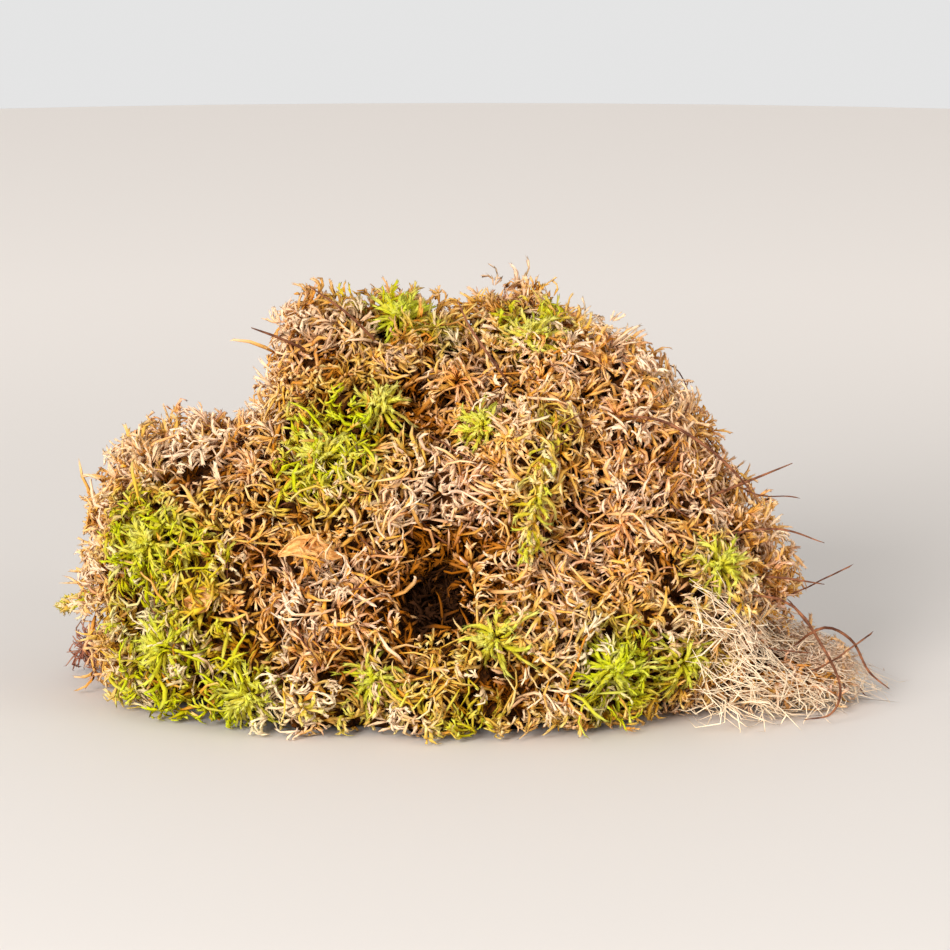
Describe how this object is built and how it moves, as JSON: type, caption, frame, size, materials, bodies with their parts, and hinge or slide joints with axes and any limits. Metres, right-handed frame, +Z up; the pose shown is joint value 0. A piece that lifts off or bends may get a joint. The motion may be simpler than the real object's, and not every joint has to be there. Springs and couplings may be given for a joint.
{
  "type": "sphagnum moss clump",
  "caption": "Loose free-standing heap of half dried sphagnum moss: a shaggy straw-coloured mound with green heads, dead brown sprays, bare stems and a thin tail.",
  "frame": {"origin": "middle of the clump's own box, on the table that it rests on", "axes": "+Z up; -Y is the front that the picture shows; +X to the right in the picture, towards the thin tail"},
  "size_m": [0.1866, 0.13, 0.098],
  "materials": {
    "straw": "matte, dry plant fibre",
    "lime": "matte, fresh moss leaf",
    "russet": "matte, dead moss branch",
    "stem_brown": "matte, bare plant stem",
    "amber": "satin, dry dead leaf",
    "root_brown": "matte, wiry root"
  },
  "bodies": {
    "root": {"green_head_01": "lime", "green_head_02": "lime", "green_head_03": "lime", "green_head_04": "lime", "green_head_05": "lime", "green_head_06": "lime", "green_head_07": "lime", "green_head_08": "lime", "green_head_09": "lime", "green_head_10": "lime", "green_head_11": "lime", "green_head_12": "lime", "green_head_13": "lime", "green_head_14": "lime", "green_head_15": "lime", "green_head_16": "lime", "green_head_17": "lime", "green_head_18": "lime", "green_shoot_hanging": "lime", "green_sprig_left": "lime", "leaf_flake_amber": "amber", "leaf_flake_crown": "amber", "leaf_flake_left": "amber", "root_crumb_left": "root_brown", "root_mat_right": "root_brown", "russet_spray_01": "russet", "russet_spray_02": "russet", "russet_spray_03": "russet", "russet_spray_04": "russet", "russet_spray_05": "russet", "russet_spray_06": "russet", "russet_spray_07": "russet", "russet_spray_08": "russet", "stem_arching": "stem_brown", "stem_back": "stem_brown", "stem_crown_curved": "stem_brown", "stem_crown_left": "stem_brown", "stem_fibre_right": "stem_brown", "stem_looped": "stem_brown", "stem_pair_right": "stem_brown", "stem_stub_left": "stem_brown", "stem_stub_right": "stem_brown", "stem_tail_tip": "stem_brown", "straw_tangle": "straw"}
  },
  "joints": []
}
